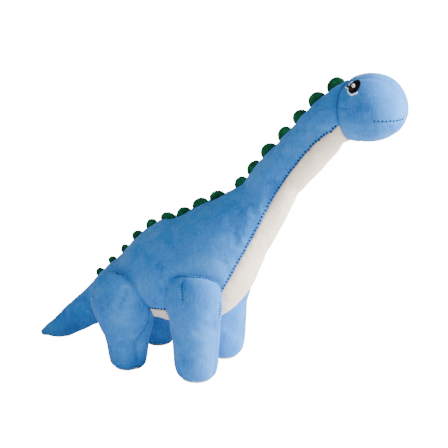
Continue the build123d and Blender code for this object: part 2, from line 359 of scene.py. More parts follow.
def leg_attachment(name):
    """Where a leg is sewn to the body: place up the leg for each of 90 angles round it."""
    surface = leg_skin(name)
    angles = np.linspace(0, 2 * math.pi, 91)
    v = np.linspace(0.25, 0.995, 160)
    places = []
    for angle in angles:
        share = depth_in_body(surface(v, angle))
        outside = np.nonzero(share > 1)[0]
        places.append(v[outside[-1]] if len(outside) else v[0])
    return angles, np.array(places)


LEG_ATTACHMENTS = {name: leg_attachment(name) for name in LEG_NAMES}


# ---------------------------------------------------------------- settings


def setting(name, description, value, low, high, unit="LENGTH"):
    return bpy.props.FloatProperty(
        name=name, description=description, default=value, min=low, max=high, unit=unit
    )


def plate_setting(name, description, value):
    return bpy.props.FloatVectorProperty(
        name=name, description=description, default=value, size=2, unit="LENGTH"
    )


class DinosaurSizes(bpy.types.PropertyGroup):
    """Sizes of the sewing and the cloth."""

    cloth_cell: setting("Cloth Cell", "Width of a cell of the unfilled cloth", 0.0034, 0.002, 0.01)
    cloth_thickness: setting("Cloth Thickness", "Velour with its backing", 0.0014, 0.0005, 0.003)
    fill_pressure: setting("Fill Pressure", "How hard the stuffing pushes", 4.0, 0, 10, "NONE")
    fill_travel: setting("Fill Travel", "Furthest that stuffing pushes the cloth", 0.0024, 0, 0.01)
    seam_depth: setting("Seam Depth", "How far a seam is pulled in", 0.0012, 0, 0.005)
    lump_height: setting("Lump Height", "Unevenness of the stuffing", 0.0008, 0, 0.005)
    stitch_pitch: setting("Stitch Pitch", "From one stitch to the next", 0.004, 0.001, 0.01)
    stitch_length: setting("Stitch Length", "Length of thread that shows", 0.0021, 0.0005, 0.01)
    thread_radius: setting("Thread Radius", "Radius of the sewing thread", 0.0009, 0.0001, 0.002)
    first_plate: plate_setting("First Plate", "Half length and height at the tail", (0.0056, 0.0060))
    last_plate: plate_setting("Last Plate", "Half length and height at the head", (0.0100, 0.0088))
    eye_height: setting("Eye Height", "How far the embroidery stands out", 0.0008, 0.0001, 0.003)


def colour_setting(name, description, value):
    return bpy.props.FloatVectorProperty(
        name=name, description=description, default=value, size=3, min=0, max=1, subtype="COLOR"
    )


class DinosaurColours(bpy.types.PropertyGroup):
    """Colours of the cloth and thread, linear."""

    blue: colour_setting("Blue Velour", "Pile of the sides, head, tail and legs", (0.036, 0.225, 0.66))
    blue_rubbed: colour_setting("Rubbed Blue", "Blue pile brushed towards the light", (0.100, 0.36, 0.80))
    blue_deep: colour_setting("Deep Blue", "Blue pile brushed away from the light", (0.015, 0.145, 0.53))
    cream: colour_setting("Cream Velour", "Pile of the underside and soles", (1.0, 0.83, 0.66))
    cream_rubbed: colour_setting("Rubbed Cream", "Cream pile brushed towards the light", (1.0, 0.91, 0.78))
    cream_deep: colour_setting("Deep Cream", "Cream pile brushed away from the light", (0.95, 0.74, 0.57))
    green: colour_setting("Green Velour", "Pile of the back plates", (0.004, 0.095, 0.032))
    green_rubbed: colour_setting("Rubbed Green", "Green pile brushed towards the light", (0.020, 0.26, 0.10))
    green_deep: colour_setting("Deep Green", "Green pile brushed away from the light", (0.001, 0.028, 0.010))
    navy: colour_setting("Navy Thread", "Stitches of the underside and legs", (0.004, 0.010, 0.040))
    black: colour_setting("Black Thread", "Embroidery of the eyes", (0.0012, 0.0012, 0.0016))
    brown: colour_setting("Brown Thread", "Embroidery of the irises", (0.050, 0.014, 0.006))
    white: colour_setting("White Thread", "Embroidery round the eyes", (1.0, 0.99, 1.0))
    glint: colour_setting("Pale Pink Thread", "Embroidery of the eyes' highlights", (0.95, 0.82, 0.82))


class DinosaurView(bpy.types.PropertyGroup):
    """Camera and light."""

    azimuth: bpy.props.FloatProperty(
        name="Azimuth", description="From the toy's right side", default=math.radians(24), subtype="ANGLE"
    )
    elevation: bpy.props.FloatProperty(
        name="Elevation", description="Above the floor", default=math.radians(20), subtype="ANGLE"
    )
    distance: setting("Distance", "Camera to the toy", 2.0, 0.5, 10)
    lens: setting("Lens", "Focal length", 160.7, 20, 400, "CAMERA")
    key_power: setting("Key Light", "Main soft light", 96.0, 0, 500, "POWER")
    fill_power: setting("Fill Light", "Light from the left", 9.0, 0, 500, "POWER")
    surround: setting("Surround", "Light that reaches the toy from all round", 0.34, 0, 10, "NONE")
    backdrop: setting("Backdrop", "Brightness of the floor and backdrop", 16.0, 0, 50, "NONE")


def sizes():
    return bpy.context.scene.dinosaur_sizes


def colours():
    return bpy.context.scene.dinosaur_colours


# ---------------------------------------------------------------- materials


def group_socket(group, name, kind, direction, value=None):
    socket = group.interface.new_socket(name=name, in_out=direction, socket_type=kind)
    if value is not None:
        socket.default_value = value


def feed(tree, socket, value):
    """Links a socket to another node's socket, or sets its value."""
    if isinstance(value, bpy.types.NodeSocket):
        tree.links.new(value, socket)
    else:
        socket.default_value = value


def joined(tree, kind, settings=None, inputs=None):
    """A node with its settings and its inputs, each a value or another node's socket."""
    node = tree.nodes.new(kind)
    for key, value in (settings or {}).items():
        setattr(node, key, value)
    for key, value in (inputs or {}).items():
        feed(tree, node.inputs[key], value)
    return node


def noise_value(tree, place, scale, detail, **more):
    """Value socket of a Noise Texture."""
    inputs = {"Vector": place, "Scale": scale, "Detail": detail, **more}
    return joined(tree, "ShaderNodeTexNoise", None, inputs).outputs["Fac"]


def mixed(tree, blend, factor, first, second):
    """Colour socket of a Mix node."""
    node = joined(tree, "ShaderNodeMix", {"data_type": "RGBA", "blend_type": blend})
    for k, value in ((0, factor), (6, first), (7, second)):
        feed(tree, node.inputs[k], value)
    return node.outputs[2]


def spread(tree, value, low, high, to_low=0.0, to_high=1.0):
    """A value moved from one range to another, smoothly."""
    node = joined(
        tree, "ShaderNodeMapRange", {"interpolation_type": "SMOOTHSTEP"},
        {"Value": value, "From Min": low, "From Max": high, "To Min": to_low, "To Max": to_high},
    )
    return node.outputs["Result"]


def nap_group():
    """Brushed pile: mottling where hands have turned the nap, streaks along it and a fine grain, with shade
    painted along the seams.
    """
    group = bpy.data.node_groups.get("brushed_nap")
    if group:
        return group
    group = bpy.data.node_groups.new("brushed_nap", "ShaderNodeTree")
    for name, kind, value in (
        ("Pile", "NodeSocketColor", (0.5, 0.5, 0.5, 1)),
        ("Rubbed", "NodeSocketColor", (0.6, 0.6, 0.6, 1)),
        ("Deep", "NodeSocketColor", (0.4, 0.4, 0.4, 1)),
        ("Mottle Scale", "NodeSocketFloat", 26.0),
        ("Grain Scale", "NodeSocketFloat", 900.0),
        # Seam: share of the shade painted along the seams
        ("Seam", "NodeSocketFloat", 0.0),
    ):
        group_socket(group, name, kind, "INPUT", value)
    for name, kind in (
        ("Color", "NodeSocketColor"), ("Roughness", "NodeSocketFloat"), ("Height", "NodeSocketFloat"),
    ):
        group_socket(group, name, kind, "OUTPUT")
    given = group.nodes.new("NodeGroupInput").outputs
    place = joined(group, "ShaderNodeTexCoord").outputs["Object"]
    brushed = joined(group, "ShaderNodeMapping", None, {"Vector": place, "Scale": (620.0, 620.0, 150.0)})
    mottle = noise_value(group, place, given["Mottle Scale"], 4.0, Roughness=0.55, Distortion=0.4)
    patches = noise_value(group, place, 95.0, 5.0, Roughness=0.62)
    streaks = noise_value(group, brushed.outputs[0], 1.0, 3.0)
    grain = noise_value(group, place, given["Grain Scale"], 4.0, Roughness=0.7)
    base = given["Pile"]
    for value, low, high, at_low, at_high, tint in (
        (mottle, 0.28, 0.5, 1.0, 0.0, "Deep"),
        (mottle, 0.5, 0.74, 0.0, 0.5, "Rubbed"),
        (patches, 0.5, 0.74, 0.0, 0.26, "Rubbed"),
        (patches, 0.3, 0.5, 0.28, 0.0, "Deep"),
        (streaks, 0.45, 0.75, 0.0, 0.35, "Rubbed"),
        (grain, 0.25, 0.55, 0.4, 0.0, "Deep"),
    ):
        base = mixed(group, "MIX", spread(group, value, low, high, at_low, at_high), base, given[tint])
    # Painted shade along the seams: the pile multiplied towards a dull blue-grey where the seam attribute is
    # high.
    shade = mixed(group, "MULTIPLY", given["Seam"], base, (0.42, 0.45, 0.52, 1.0))
    height = joined(
        group, "ShaderNodeMath", {"operation": "MULTIPLY_ADD"}, {0: grain, 1: 0.65, 2: streaks}
    ).outputs[0]
    result = group.nodes.new("NodeGroupOutput")
    group.links.new(shade, result.inputs["Color"])
    group.links.new(spread(group, patches, 0.3, 0.7, 0.95, 0.78), result.inputs["Roughness"])
    group.links.new(height, result.inputs["Height"])
    return group


def new_material(name):
    material = bpy.data.materials.new(name)
    material.use_nodes = True
    material.node_tree.nodes.clear()
    tree = material.node_tree
    shader = tree.nodes.new("ShaderNodeBsdfPrincipled")
    output = tree.nodes.new("ShaderNodeOutputMaterial")
    tree.links.new(shader.outputs[0], output.inputs[0])
    return material, tree, shader


def rgba(colour):
    return (*colour, 1.0)


# Each velour's scale of mottling, sheen and sheen tint.
NAPS = {
    "blue_velour": (26.0, 0.22, (0.6, 0.8, 1.0)),
    "cream_velour": (22.0, 0.15, (1.0, 0.97, 0.94)),
    "green_velour": (190.0, 0.05, (0.3, 1.0, 0.5)),
}
# Each thread's colour setting and its roughness.
THREADS = {
    "navy_stitching": ("navy", 0.5),
    "black_satin": ("black", 0.38),
    "brown_satin": ("brown", 0.4),
    "white_satin": ("white", 0.45),
    "pale_pink_satin": ("glint", 0.4),
}


def velour(slot):
    """Short-pile velour, with shade painted along its seams."""
    word = slot.split("_")[0]
    name = f"{word}_pile"
    if name in bpy.data.materials:
        return bpy.data.materials[name]
    mottle_scale, sheen, sheen_tint = NAPS[slot]
    pile, rubbed, deep = (rgba(getattr(colours(), word + part)) for part in ("", "_rubbed", "_deep"))
    material, tree, shader = new_material(name)
    # The seam attribute holds the shade painted along each seam.
    seam = joined(tree, "ShaderNodeAttribute", {"attribute_name": "seam"}).outputs["Fac"]
    nap = joined(
        tree, "ShaderNodeGroup", {"node_tree": nap_group()},
        {"Pile": pile, "Rubbed": rubbed, "Deep": deep, "Mottle Scale": mottle_scale, "Seam": seam},
    )
    bump = joined(
        tree, "ShaderNodeBump", None, {"Height": nap.outputs["Height"], "Strength": 0.35, "Distance": 0.0006}
    )
    for key, value in {
        "Base Color": nap.outputs["Color"],
        "Roughness": nap.outputs["Roughness"],
        "Normal": bump.outputs["Normal"],
        "Specular IOR Level": 0.15,
        "Sheen Weight": sheen,
        "Sheen Roughness": 0.42,
        "Sheen Tint": rgba(sheen_tint),
    }.items():
        feed(tree, shader.inputs[key], value)
    return material


def thread(name):
    """Twisted sewing or embroidery thread: fine slanting strands with a soft gloss and a highlight painted
    lighter on each strand's raised crest.
    """
    if name in bpy.data.materials:
        return bpy.data.materials[name]
    word, roughness = THREADS[name]
    colour = getattr(colours(), word)
    material, tree, shader = new_material(name)
    place = joined(tree, "ShaderNodeTexCoord").outputs["Object"]
    turned = joined(tree, "ShaderNodeMapping", None, {"Vector": place, "Rotation": (0.6, 0.5, 0.3)})
    strands = joined(
        tree, "ShaderNodeTexWave", {"wave_type": "BANDS"},
        {"Vector": turned.outputs[0], "Scale": 620.0, "Distortion": 1.5, "Detail": 2.0},
    ).outputs["Fac"]
    # A lighter copy of the thread's colour, painted on each strand's raised crest as a highlight.
    light = tuple(min(1.0, channel * 1.3 + 0.001) for channel in colour)
    bump = joined(tree, "ShaderNodeBump", None, {"Height": strands, "Strength": 0.4, "Distance": 0.0002})
    for key, value in {
        "Base Color": mixed(tree, "MIX", strands, rgba(colour), rgba(light)),
        "Roughness": spread(tree, strands, 0.0, 1.0, roughness + 0.15, roughness),
        "Normal": bump.outputs["Normal"],
        "Specular IOR Level": 0.08,
    }.items():
        feed(tree, shader.inputs[key], value)
    return material


def dress(obj, material, slot):
    obj.data.materials.append(material)


# ---------------------------------------------------------------- cloth


def select_only(obj):
    bpy.ops.object.select_all(action="DESELECT")
    obj.select_set(True)
    bpy.context.view_layer.objects.active = obj


def apply_modifier(obj, modifier):
    select_only(obj)
    bpy.ops.object.modifier_apply(modifier=modifier.name)


def places_of(obj):
    co = np.zeros(len(obj.data.vertices) * 3)
    obj.data.vertices.foreach_get("co", co)
    return co.reshape(-1, 3)


def move_to(obj, places):
    obj.data.vertices.foreach_set("co", np.asarray(places, np.float32).ravel())
    obj.data.update()


def float_attribute(obj, name, values):
    attribute = obj.data.attributes.get(name) or obj.data.attributes.new(name, "FLOAT", "POINT")
    attribute.data.foreach_set("value", np.asarray(values, np.float32))


def mesh_object(name, vertices, faces):
    mesh = bpy.data.meshes.new(name)
    mesh.from_pydata([tuple(p) for p in vertices], [], [tuple(int(i) for i in f) for f in faces])
    mesh.update()
    obj = bpy.data.objects.new(name, mesh)
    bpy.context.scene.collection.objects.link(obj)
    return obj


def cloth_grid(name, surface, v, angle, flipped=False):
    """A piece of cloth cut as a grid over a surface, with the way out stored at each point."""
    points, normals = surface(v, angle), outward(surface, v, angle)
    if flipped:
        points, normals = points[:, ::-1], -normals[:, ::-1]
    rows, columns = points.shape[:2]
    index = np.arange(rows * columns).reshape(rows, columns)
    faces = np.stack((index[:-1, :-1], index[1:, :-1], index[1:, 1:], index[:-1, 1:]), -1).reshape(-1, 4)
    obj = mesh_object(name, points.reshape(-1, 3), faces)
    out = obj.data.attributes.new("way_out", "FLOAT_VECTOR", "POINT")
    out.data.foreach_set("vector", normals.astype(np.float32).ravel())
    work = bmesh.new()
    work.from_mesh(obj.data)
    bmesh.ops.remove_doubles(work, verts=work.verts, dist=0.00008)
    bmesh.ops.dissolve_degenerate(work, edges=work.edges, dist=0.00005)
    work.to_mesh(obj.data)
    work.free()
    return obj


FILL_FRAMES = 20


def fill_out(obj):
    """Pressure from the stuffing fills the cloth out between its seams, which are held."""
    rest = places_of(obj)
    work = bmesh.new()
    work.from_mesh(obj.data)
    held = [v.index for v in work.verts if v.is_boundary]
    work.free()
    group = obj.vertex_groups.new(name="held")
    group.add(held, 1.0, "REPLACE")
    cloth = obj.modifiers.new("Cloth", "CLOTH")
    for key, value in {
        "quality": 5,
        "mass": 0.12,
        "tension_stiffness": 10,
        "compression_stiffness": 10,
        "bending_stiffness": 0.4,
        "use_pressure": True,
        "uniform_pressure_force": sizes().fill_pressure,
        "shrink_min": -0.012,
        "vertex_group_mass": group.name,
    }.items():
        setattr(cloth.settings, key, value)
    cloth.settings.effector_weights.gravity = 0
    cloth.collision_settings.use_collision = False
    cloth.point_cache.frame_start = 1
    cloth.point_cache.frame_end = FILL_FRAMES
    for number in range(1, FILL_FRAMES + 1):
        bpy.context.scene.frame_set(number)
    apply_modifier(obj, cloth)
    bpy.context.scene.frame_set(1)
    moved = places_of(obj) - rest
    distance = np.linalg.norm(moved, axis=1, keepdims=True)
    travel = sizes().fill_travel
    capped = travel * np.tanh(distance / travel)
    move_to(obj, rest + moved * capped / np.maximum(distance, 1e-9))
    obj.vertex_groups.clear()


def seam_tree(points):
    tree = KDTree(len(points))
    for k, point in enumerate(points):
        tree.insert(point, k)
    tree.balance()
    return tree


def finish_cloth(obj, seams, slot):
    """Fills a piece of cloth out, pulls it in along its seams, paints shade along them, and gives it its
    thickness and pile.
    """
    fill_out(obj)
    subdivision = obj.modifiers.new("Subdivision", "SUBSURF")
    subdivision.levels = subdivision.render_levels = 1
    subdivision.boundary_smooth = "PRESERVE_CORNERS"
    apply_modifier(obj, subdivision)
    places = places_of(obj)
    out = np.zeros(len(places) * 3)
    obj.data.attributes["way_out"].data.foreach_get("vector", out)
    out = out.reshape(-1, 3)
    out /= np.maximum(np.linalg.norm(out, axis=1, keepdims=True), 1e-9)
    pull, shade = np.zeros(len(places)), np.zeros(len(places))
    # Each seam pulls the cloth in and paints shade onto it close by.
    for tree, depth, width, painted_shade in seams:
        away = np.array([tree.find(p)[2] for p in places])
        pull = np.maximum(pull, depth * np.exp(-((away / width) ** 1.3)))
        shade = np.maximum(shade, painted_shade * np.exp(-((away / (0.35 * width)) ** 2)))
    lumps = np.array([noise.noise(Vector(p) * 26) + 0.5 * noise.noise(Vector(p) * 60) for p in places])
    near_seam = np.clip(pull / max(pull.max(), 1e-9), 0, 1)
    rise = sizes().lump_height * lumps * (1 - near_seam) - pull
    move_to(obj, places + out * rise[:, None])
    # The seam attribute is the shade painted along the seams.
    float_attribute(obj, "seam", shade)
    obj.data.attributes.remove(obj.data.attributes["way_out"])
    wall = obj.modifiers.new("Wall", "SOLIDIFY")
    wall.thickness = sizes().cloth_thickness
    wall.offset = -1
    apply_modifier(obj, wall)
    select_only(obj)
    bpy.ops.object.shade_smooth_by_angle(angle=math.radians(40))
    dress(obj, velour(slot), slot)


def panel_places(start, end, low, high, length, width):
    """Grid of (v, angle) between edges that are functions: start and end of angle, low and high of v."""
    cell = sizes().cloth_cell
    rows, columns = max(4, round(length / cell)), max(3, round(width / cell))
    s, t = np.meshgrid(np.linspace(0, 1, rows + 1), np.linspace(0, 1, columns + 1), indexing="ij")
    v = np.full_like(s, 0.5)
    for _ in range(12):
        angle = low(v) * (1 - t) + high(v) * t
        v = start(angle) * (1 - s) + end(angle) * s
    return v, low(v) * (1 - t) + high(v) * t


def fixed(value):
    return lambda at: np.full_like(at, value)


def minus(angle):
    """The same edge on the right."""
    return lambda v: -angle(v)


def round_to(angle):
    """The right edge again, reached the long way round from the left."""
    return lambda v: 2 * math.pi - angle(v)


def tuck_places(kind, tuck, count):
    """Places and angles along a tuck in a thigh."""
    (h0, a0), (h1, a1) = tuck
    t = np.linspace(0, 1, count)
    return leg_v(kind, h0 + (h1 - h0) * t), np.radians(a0 + (a1 - a0) * t)


SEAMS = {}


def keep_seam(name, points, depth, width, painted_shade):
    """Keeps a seam's points, how deep and how wide it pulls the cloth in, and the shade painted along it."""
    SEAMS[name] = (seam_tree(points), depth * sizes().seam_depth, width, painted_shade)


def both_sides(v, angle):
    return np.vstack((skin(v, angle), skin(v, -angle)))


def plan_body_seams():
    v = np.linspace(0, 1, 2600)
    back = v[v < head_seam(0.0)]
    under = v[(v > BELLY_START_V) & (v < THROAT_END_V)]
    tail_under = v[v < BELLY_START_V]
    head = v[v > head_seam(math.pi / 2)]
    mouth = head[chin_angle(head) < math.pi - 0.01]
    crown = v[(v > head_seam(0.3)) & (v < v_at_x(CROWN_TIP_X * MM))]
    around = np.linspace(0, 2 * math.pi, 500)
    dart_z, dart_length = (n * MM for n in CHEEK_DART)
    dart = np.linspace(float(head_seam(math.pi / 2)), v_at_x(CHEEK_BACK_X * MM + dart_length), 30)
    z, half_height = (np.interp(dart, LINE, BODY[:, k]) for k in (1, 2))
    dart_angle = np.arccos(np.clip((dart_z - z) / half_height, -1, 1))
    # Each seam: its points, depth, width and the shade painted along it.
    keep_seam("back", skin(back, 0.0), 0.9, 0.0040, 0.35)
    keep_seam("belly", both_sides(under, belly_angle(under)), 1.15, 0.0038, 0.8)
    keep_seam("tail_under", skin(tail_under, math.pi), 0.6, 0.003, 0.6)
    keep_seam("head", skin(head_seam(around), around), 1.5, 0.0044, 0.95)
    keep_seam("mouth", both_sides(mouth, chin_angle(mouth)), 0.08, 0.0020, 0.0)
    keep_seam("crown", both_sides(crown, crown_angle(crown)), 0.4, 0.0030, 0.25)
    keep_seam("cheek_dart", both_sides(dart, dart_angle), 1.0, 0.0022, 0.85)


def plan_leg_seams(name):
    surface, kind = leg_skin(name), name.split("_")[0]
    foot = float(leg_v(kind, SOLE_SEAM_HEIGHT))
    around = np.linspace(0, 2 * math.pi, 700)
    column = np.linspace(foot, 1, 500)
    tucks = [surface(*tuck_places(kind, tuck, 60)) for tuck in LEG_DARTS[kind]]
    fold_depth, fold_width = (2.4, 0.0055) if kind == "hind" else (0.7, 0.0036)
    # Each seam: its points, depth, width and the shade painted along it.
    keep_seam(f"{name}_ring", surface(np.interp(around, *LEG_ATTACHMENTS[name]), around), 1.1, 0.0034, 0.4)
    keep_seam(f"{name}_front", surface(column, leg_front_angle(kind, column)), fold_depth, fold_width, 0.5)
    keep_seam(f"{name}_back", surface(column, math.radians(LEG_BACK_SEAM)), 0.7, 0.0034, 0.5)
    keep_seam(f"{name}_sole", surface(foot, around), 0.6, 0.0022, 0.6)
    keep_seam(f"{name}_darts", np.vstack(tucks), 0.8, 0.0026, 0.6)


def seams(*names):
    """The named seams, planned when they are first asked for."""
    if not SEAMS:
        plan_body_seams()
        for name in LEG_NAMES:
            plan_leg_seams(name)
    return [SEAMS[name] for name in names]


def neck_blend(obj):
    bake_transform(obj)


def head_blend(obj):
    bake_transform(obj)


def tail_blend(obj):
    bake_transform(obj)


def leg_blend(obj):
    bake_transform(obj)


class DINOSAUR_OT_sides(bpy.types.Operator):
    """Two blue sides from the rump to the head, and the cream underside between them"""

    bl_idname = "dinosaur.sides"
    bl_label = "Sides and Underside"

    def execute(self, context):
        legs = [f"{name}_ring" for name in LEG_NAMES]
        for side_name, low, high in (
            ("right", minus(belly_angle), fixed(0.0)),
            ("left", fixed(0.0), belly_angle),
        ):
            v, angle = panel_places(fixed(RUMP_V), head_seam, low, high, 0.40, 0.13)
            side = cloth_grid(f"{side_name}_side", skin, v, angle)
            finish_cloth(side, seams("back", "belly", "head", *legs), "blue_velour")
            neck_blend(side)
            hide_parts(f"torso_panel_{side_name}", f"neck_panel_{side_name}")
        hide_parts("torso_stuffing", "neck_stuffing")
        start, far = fixed(BELLY_START_V), round_to(belly_angle)
        v, angle = panel_places(start, head_seam, belly_angle, far, 0.36, 0.075)
        under = cloth_grid("underside", skin, v, angle)
        finish_cloth(under, seams("belly", "head", *legs), "cream_velour")
        neck_blend(under)
        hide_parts("belly_panel", "throat_panel")
        return {"FINISHED"}


class DINOSAUR_OT_tail(bpy.types.Operator):
    """Two blue halves of the tail"""

    bl_idname = "dinosaur.tail"
    bl_label = "Tail"

    def execute(self, context):
        for side_name, low, high in (("right", -math.pi, 0.0), ("left", 0.0, math.pi)):
            v, angle = panel_places(fixed(0.0), fixed(RUMP_V), fixed(low), fixed(high), 0.12, 0.06)
            half = cloth_grid(f"tail_{side_name}", skin, v, angle)
            finish_cloth(half, seams("back", "tail_under"), "blue_velour")
            tail_blend(half)
            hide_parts(f"tail_panel_{side_name}")
        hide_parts("tail_stuffing")
        return {"FINISHED"}


class DINOSAUR_OT_head(bpy.types.Operator):
    """Two cheeks, the gusset over the crown and the chin"""

    bl_idname = "dinosaur.head"
    bl_label = "Head"

    def execute(self, context):
        chin_end = float(LINE[np.nonzero(chin_angle(LINE[:-2]) < math.pi)[0][-1]])
        nose = fixed(1.0)
        pieces = (
            ("cheek_right", minus(chin_angle), minus(crown_angle), nose, 0.05, "cheek_panel_right"),
            ("cheek_left", crown_angle, chin_angle, nose, 0.05, "cheek_panel_left"),
            ("crown", minus(crown_angle), crown_angle, nose, 0.022, "crown_gusset"),
            ("chin", chin_angle, round_to(chin_angle), fixed(chin_end), 0.09, "chin_panel"),
        )
        sewn = seams("head", "mouth", "crown", "cheek_dart")
        for name, low, high, end, width, node in pieces:
            v, angle = panel_places(head_seam, end, low, high, 0.075, width)
            piece = cloth_grid(name, skin, v, angle)
            finish_cloth(piece, sewn, "blue_velour")
            head_blend(piece)
            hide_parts(node)
        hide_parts("head_stuffing")
        return {"FINISHED"}


class DINOSAUR_OT_legs(bpy.types.Operator):
    """Four legs, each an outer and an inner panel and a sole"""

    bl_idname = "dinosaur.legs"
    bl_label = "Legs"

    def execute(self, context):
        for name in LEG_NAMES:
            surface, kind, left = leg_skin(name), name.split("_")[0], "left" in name
            foot = float(leg_v(kind, SOLE_SEAM_HEIGHT))
            back = math.radians(LEG_BACK_SEAM)
            sewn = seams(*(f"{name}_{part}" for part in ("ring", "front", "back", "sole", "darts")))
            front = partial(leg_front_angle, kind)
            pieces = (
                ("outer", front, fixed(back), foot, 1.0, 0.13, 0.075),
                ("inner", fixed(back), lambda v: 2 * math.pi + front(v), foot, 1.0, 0.13, 0.075),
                ("sole", fixed(0.0), fixed(2 * math.pi), 0.0, foot, 0.020, 0.11),
            )
            for part, low, high, start, end, length, width in pieces:
                v, angle = panel_places(fixed(start), fixed(end), low, high, length, width)
                piece = cloth_grid(f"{name}_{part}", surface, v, angle, flipped=left)
                if part == "sole":
                    finish_cloth(piece, sewn, "cream_velour")
                    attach(piece, name)
                    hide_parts(f"{name}_sole")
                    continue
                finish_cloth(piece, sewn, "blue_velour")
                leg_blend(piece)
                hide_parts(f"{name}_{part}_panel")
                if part == "outer":
                    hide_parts(f"{name}_stuffing")
        return {"FINISHED"}


# ---------------------------------------------------------------- back plates


PLATE_SUNK = 0.001  # a plate's foot under the seam


def half_round_plate():
    """One plump half-round plate, one unit long each way, its foot on the XY plane."""
    bpy.ops.object.select_all(action="DESELECT")
    bpy.ops.mesh.primitive_uv_sphere_add(segments=32, ring_count=20, radius=1.0)
    plate = bpy.context.object
    plate.name = "plate_pattern"
    bpy.ops.object.mode_set(mode="EDIT")
    bpy.ops.mesh.select_all(action="SELECT")
    bpy.ops.mesh.bisect(plane_co=(0, 0, -0.12), plane_no=(0, 0, 1), clear_inner=True, use_fill=True)
    bpy.ops.mesh.select_all(action="SELECT")
    bpy.ops.transform.resize(value=(1, 0.34, 1), center_override=(0, 0, 0))
    bpy.ops.object.mode_set(mode="OBJECT")
    for vertex in plate.data.vertices:
        x, y, z = vertex.co
        rim = 1 - 0.05 * (math.exp(-((y / 0.045) ** 2)) if z > -0.1 else 0.0)
        waist = 0.78 + 0.22 * max(z, 0) if z < 0.5 else 1.0
        vertex.co = Vector((x * rim, y * waist, z * rim))
    return plate


class DINOSAUR_OT_plates(bpy.types.Operator):
    """Green half-round plates, caught in the seam along the back"""

    bl_idname = "dinosaur.plates"
    bl_label = "Back Plates"

    def execute(self, context):
        pattern = half_round_plate()
        nodes = sorted(n for n in frame["nodes"] if n.startswith("back_plate_"))
        top = skin(LINE, 0.0)
        first, last = sizes().first_plate, sizes().last_plate
        bodies = frame["record"]["behaviour"]["bodies"]
        for k, node in enumerate(nodes):
            share = k / (len(nodes) - 1)
            low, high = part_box(node)
            centre = (low + high) / 2
            v = float(LINE[np.argmin(np.linalg.norm(top - np.array(centre), axis=1))])
            slide = 0.0025 if k < 6 else 0.0011 * max(0, k - 8)  # ahead of the node, along the seam
            step = Vector(skin(v + 0.001, 0.0) - skin(v, 0.0)).length
            v += 0.001 * slide / step
            foot = Vector(skin(v, 0.0))
            along = Vector(skin(v + 0.004, 0.0) - skin(v - 0.004, 0.0)).normalized()
            out = Vector(outward(skin, v, 0.0))
            lean = math.radians(13 * math.sin(2.4 * k + 0.6))
            twist = math.radians(9 * math.sin(1.7 * k + 2.0))
            turn = Matrix((along, out.cross(along), out)).transposed()
            turn = turn @ Matrix.Rotation(lean, 3, "X") @ Matrix.Rotation(twist, 3, "Z")
            grown = 1.25 * share if share < 0.28 else 0.75 + 0.25 * share  # the first few stay short
            half_length = first[0] + (last[0] - first[0]) * grown
            height = first[1] + (last[1] - first[1]) * share
            plate = mesh_object(node + "_cloth", [], [])
            plate.data = pattern.data.copy()
            for vertex in plate.data.vertices:
                x, y, z = vertex.co
                wobble = 1 + 0.06 * noise.noise(Vector((x * 1.3 + 9 * k, y, z * 1.3)))
                local = Vector((x * half_length, y * half_length * 0.95, z * height)) * wobble
                vertex.co = foot - out * PLATE_SUNK + turn @ local
            # Painted shade along the plate's rim, where its two halves meet, stored as its seam attribute.
            shade = [0.75 * math.exp(-((vertex.co.y / 0.10) ** 2)) for vertex in pattern.data.vertices]
            float_attribute(plate, "seam", shade)
            plate.data.shade_smooth()
            dress(plate, velour("green_velour"), "green_velour")
            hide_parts(node)
            if node in bodies["torso"] and k < 5:
                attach(plate, "torso")
            else:
                neck_blend(plate)
        bpy.data.objects.remove(pattern)
        return {"FINISHED"}


# ---------------------------------------------------------------- embroidery and stitches

# Shapes of the right eye in mm in its own plane, first forward and then up.
EYE_CENTRE = (153.8, 18.3, 322.1)
EYE_SCALE = 1.12
EYE_NORMAL = (-0.14, 0.68, 0.72)
EYE_OUTLINE = (
    (2.4, 7.5), (4.9, 5.4), (6.3, 2.3), (6.3, -0.7), (5.2, -3.6), (3.3, -5.8), (1.2, -6.3), (-0.8, -6.4),
    (-3.0, -4.7), (-4.1, -2.4), (-3.9, 0.4), (-3.0, 3.5), (-1.5, 6.0), (0.3, 7.3),
)
LASH_OUTLINE = ((-7.5, 2.3), (-6.7, 3.7), (-5.8, 2.0), (-3.6, 0.4), (-3.4, -1.6), (-5.8, 0.2))
IRIS_OUTLINE = (
    (-2.9, -2.2), (-1.9, -1.4), (-0.4, -1.8), (0.6, -2.9), (-0.2, -4.0), (-1.3, -4.2), (-2.5, -3.3),
)
GLINT_OUTLINE = (
    (-0.5, 2.4), (0.9, 1.8), (1.8, 0.0), (1.5, -1.9), (0.6, -2.2), (-0.7, -1.0), (-1.7, 0.4), (-1.5, 1.7),
)
WHITE_LINE = (
    (-8.6, 2.7), (-7.4, 0.9), (-5.4, -0.9), (-5.2, -3.0), (-3.9, -5.3), (-1.7, -7.4), (0.4, -7.9),
    (2.0, -7.2), (3.6, -7.2), (5.0, -5.7),
)
WHITE_SPOT = ((-5.6, 3.2), (-4.9, 3.3), (-4.5, 2.4), (-4.9, 1.6), (-5.6, 1.9))
UPPER_WHITE_LINE = ((-4.2, 3.4), (-3.5, 5.0), (-2.2, 6.7))
STRAND_PITCH = 0.62  # from one ridge of satin stitch to the next, in mm
EDGE_SUNK = 0.0006


def surface_tree(*names):
    """A search tree over the outer side of finished cloth pieces."""
    vertices, faces = [], []
    for name in names:
        mesh = bpy.data.objects[name].data
        start = len(vertices)
        vertices += [v.co.copy() for v in mesh.vertices]
        faces += [[start + i for i in p.vertices] for p in mesh.polygons]
    return BVHTree.FromPolygons(vertices, faces)


